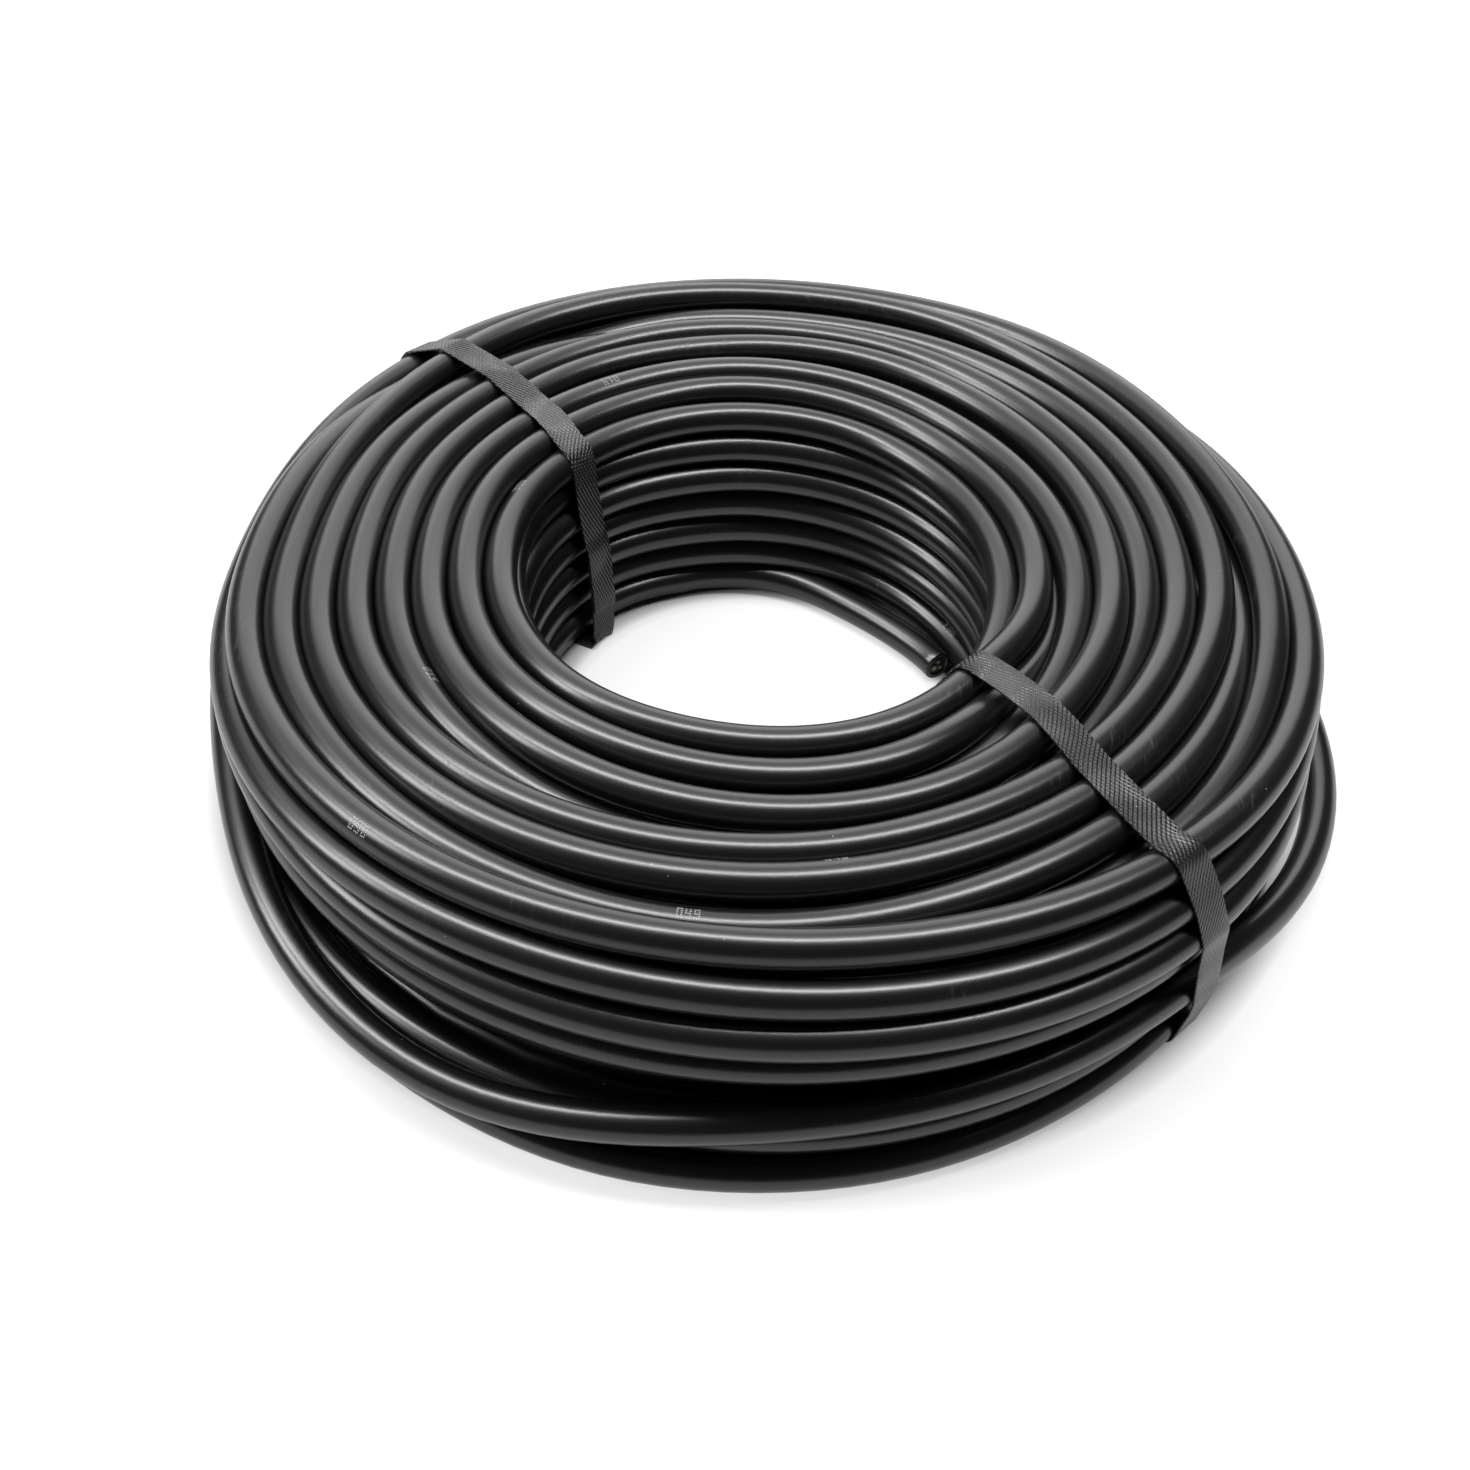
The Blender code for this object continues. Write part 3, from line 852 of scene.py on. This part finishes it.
def make_sheath_material(group):
    """Satin black PVC: faint lengthwise streaks from the extruder, a fine grain, dust and scuffs."""
    material, tree, shader = new_material("cable_sheath")
    place, specks, scuffs = add_marks(tree, group, 0.012)
    along = mapped(tree, own_uv(tree), (0, 0, 0), (9.0, 46.0, 1.0))
    streaks = noise(tree, along, 1.0, 2.0)
    rough = reckoned(tree, "MULTIPLY_ADD", scuffs, 0.08, ranged(tree, streaks, 0.3, 0.7, 0.27, 0.31))
    tree.links.new(rough, shader.inputs["Roughness"])
    pale = reckoned(tree, "MULTIPLY_ADD", scuffs, 0.05, specks)
    blend_colour(tree, shader, pale, (0.0035, 0.0035, 0.0035), (0.25, 0.25, 0.24))
    add_bump(tree, shader, noise(tree, place, 1100.0, 1.0), 0.000004)
    return material


def make_strap_material(group):
    """Dark polypropylene band with two crossing sets of fine ribs rolled into it, one set stronger."""
    material, tree, shader = new_material("strap_plastic")
    place, specks, scuffs = add_marks(tree, group, 0.02)
    uv = own_uv(tree)
    ribs = []
    for lean in (22, -40):
        wave = tree.nodes.new("ShaderNodeTexWave")
        wave.inputs["Scale"].default_value = math.tau / 20 / (RIB_PITCH * MM)
        wave.inputs["Distortion"].default_value = 0.35
        wave.inputs["Detail Scale"].default_value = 0.6
        turned = mapped(tree, uv, (0, 0, math.radians(90 + lean)), (1, 1, 1))
        tree.links.new(turned, wave.inputs["Vector"])
        ribs.append(wave.outputs["Fac"])
    relief = reckoned(tree, "MULTIPLY_ADD", ribs[1], 0.6, ribs[0])
    worn = noise(tree, place, 38.0, 1.0)
    bump = add_bump(tree, shader, relief, 0.0007)
    tree.links.new(ranged(tree, worn, 0.38, 0.62, 0.18, 1.0), bump.inputs["Strength"])
    blend_colour(tree, shader, specks, (0.009, 0.009, 0.010), (0.35, 0.35, 0.34))
    tree.links.new(ranged(tree, worn, 0.0, 1.0, 0.28, 0.42), shader.inputs["Roughness"])
    return material


def number_dots(number):
    """Where a number's dots lie, along and across, in millimetres from its middle."""
    digits = f"{number:03d}"
    dots = []
    for index, digit in enumerate(digits):
        for row, line in enumerate(DIGITS[digit].split()):
            for column, dot in enumerate(line):
                if dot == "#":
                    dots.append(((4 * index + column - 5) * DOT_STEP, (2 - row) * ROW_STEP))
    return np.array(dots)


def make_numbers(points, material):
    """Metre numbers printed on the sheath as small flat dots."""
    steps = np.linalg.norm(np.diff(points, axis=0), axis=1)
    along = np.concatenate(([0.0], np.cumsum(steps)))
    corners = np.arange(6) * math.tau / 6
    hexagon = np.stack((np.cos(corners), np.sin(corners)), axis=-1) * DOT_RADIUS * MM
    reach = (CABLE_DIAMETER / 2 + DOT_LIFT) * MM
    vertices = []
    for metre in range(int(along[-1])):
        dots = number_dots(FIRST_NUMBER + metre) * MM
        at = metre + NUMBER_AT + dots[:, 0]
        place = np.stack([np.interp(at, along, points[:, axis]) for axis in range(3)], axis=-1)
        ahead = np.stack([np.interp(at + 0.002, along, points[:, axis]) for axis in range(3)], axis=-1)
        tangent = ahead - place
        tangent /= np.linalg.norm(tangent, axis=1)[:, None]
        sideways = np.cross(tangent, (0.0, 0.0, 1.0))
        sideways /= np.linalg.norm(sideways, axis=1)[:, None]
        upward = np.cross(sideways, tangent)
        turn = math.radians(90 + 40 * math.sin(1.7 * metre + 0.4)) + dots[:, 1] / reach
        outward = sideways * np.cos(turn)[:, None] + upward * np.sin(turn)[:, None]
        around = np.cross(outward, tangent)
        centre = place + outward * reach
        flat = tangent[:, None, :] * hexagon[None, :, :1] + around[:, None, :] * hexagon[None, :, 1:]
        vertices.append((centre[:, None, :] + flat).reshape(-1, 3))
    vertices = np.concatenate(vertices)
    faces = np.arange(len(vertices)).reshape(-1, 6)
    mesh = bpy.data.meshes.new("metre_numbers")
    mesh.from_pydata(vertices.tolist(), [], faces.tolist())
    mesh.update()
    new_piece("metre_numbers", mesh, material)


def make_cable(material):
    """The whole cable with its cut face and its numbers; returns how it is wound."""
    degrees, radius, height, points = cable_route()
    mesh = tube_mesh("wound_cable", points, CABLE_DIAMETER * MM, TUBE_SIDES)
    place, way = close_end(mesh, 0, TUBE_SIDES, True, 0.6)
    close_end(mesh, (len(points) - 1) * TUBE_SIDES, TUBE_SIDES, False, 0.3)
    make_cut_face(place, way)
    ink = plain_material("number_ink", (0.24, 0.24, 0.235), 0.7, 0.0, 2600.0, 0.00002)
    make_numbers(points, ink)
    cable = new_piece("wound_cable", mesh, material)
    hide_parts("cable_coil", "cable_inner_end")
    return degrees, radius, height


# Painted light on the floor: how brightly it glows, by metres from the coil's axis; its fall to none at the
# coil's foot paints a soft shadow there
PAINTED_FLOOR_GLOW = [(0.073, 0.6), (0.080, 0.0), (0.192, 0.0), (0.207, 0.72)]


def make_floor():
    """A floor made pale by painted light: it glows in the bore and round the coil, the glow fading at the
    coil's foot into a painted soft shadow, and it is left dark under the turns.
    """
    bpy.ops.mesh.primitive_plane_add(size=7, location=(0, 0, 0))
    floor = bpy.context.object
    floor.name = "studio_floor"
    material, tree, shader = new_material("studio_floor")
    shader.inputs["Base Color"].default_value = (0.22, 0.22, 0.22, 1)
    shader.inputs["Roughness"].default_value = 0.9
    shader.inputs["Emission Color"].default_value = (1, 1, 1, 1)
    place = tree.nodes.new("ShaderNodeTexCoord")
    reach = tree.nodes.new("ShaderNodeVectorMath")
    reach.operation = "LENGTH"
    tree.links.new(place.outputs["Object"], reach.inputs[0])
    # Painted light: the floor's glow by distance from the axis, with a painted soft shadow where it fades at
    # the coil's foot
    painted_glow = tree.nodes.new("ShaderNodeValToRGB")
    steps = painted_glow.color_ramp.elements
    for index, (position, strength) in enumerate(PAINTED_FLOOR_GLOW):
        step = steps[index] if index < 2 else steps.new(position)
        step.position = position
        step.color = (strength, strength, strength, 1)
    tree.links.new(reach.outputs["Value"], painted_glow.inputs["Fac"])
    tree.links.new(painted_glow.outputs["Color"], shader.inputs["Emission Strength"])
    floor.data.materials.append(material)


# Name, place, aim, size in metres and radiance of each light
LIGHTS = [
    ("wide_softbox", (-0.65, 1.1, 1.7), (-0.65, 1.1, 0), (2.7, 2.4), 1.5),
    ("front_band", (-0.2, 0.05, 1.5), (-0.2, 0.05, 0), (2.2, 0.27), 27.0),
    ("back_panel", (-0.1, 1.9, 0.85), (-0.1, 0, 0.3), (2.4, 1.3), 2.6),
    ("left_softbox", (-1.5, -0.25, 1.15), (0, 0, 0.05), (0.45, 0.6), 22.0)]


def area_light(name, place, aim, size, radiance):
    """A rectangular softbox; its power follows from its size, so that its face is equally bright."""
    data = bpy.data.lights.new(name, "AREA")
    data.shape = "RECTANGLE"
    data.size = size[0]
    data.size_y = size[1]
    data.energy = radiance * math.pi * size[0] * size[1]
    light = bpy.data.objects.new(name, data)
    bpy.context.scene.collection.objects.link(light)
    light.location = place
    way = Vector(aim) - Vector(place)
    light.rotation_euler = way.to_track_quat("-Z", "Y").to_euler()
    light.visible_camera = False


def make_lights():
    """A wide softbox above and behind, a bright band overhead, a panel at the back and a softbox at the left.

    The camera sees a white backdrop, and the coil a faint even fill."""
    world = bpy.data.worlds.new("studio")
    bpy.context.scene.world = world
    world.use_nodes = True
    nodes = world.node_tree.nodes
    links = world.node_tree.links
    fill = nodes["Background"]
    fill.inputs["Color"].default_value = (1, 1, 1, 1)
    fill.inputs["Strength"].default_value = 0.05
    backdrop = nodes.new("ShaderNodeBackground")
    backdrop.inputs["Color"].default_value = (1, 1, 1, 1)
    backdrop.inputs["Strength"].default_value = 0.95
    path = nodes.new("ShaderNodeLightPath")
    mix = nodes.new("ShaderNodeMixShader")
    links.new(path.outputs["Is Camera Ray"], mix.inputs["Fac"])
    links.new(fill.outputs["Background"], mix.inputs[1])
    links.new(backdrop.outputs["Background"], mix.inputs[2])
    links.new(mix.outputs["Shader"], nodes["World Output"].inputs["Surface"])
    for name, place, aim, size, radiance in LIGHTS:
        area_light(name, place, aim, size, radiance)
    bpy.context.scene.view_settings.view_transform = "Standard"


new_camera()
marks = handling_marks()
sheath = make_sheath_material(marks)
winding = make_cable(sheath)
plastic = make_strap_material(marks)
make_strap("back_strap", "strap_back", plastic, winding, BACK_LIE, BACK_BENDS,
           start_height=38.5, lap=24.0)
make_strap("front_strap", "strap_front", plastic, winding, FRONT_LIE, FRONT_BENDS,
           start_height=30.0, lap=0)
make_floor()
make_lights()
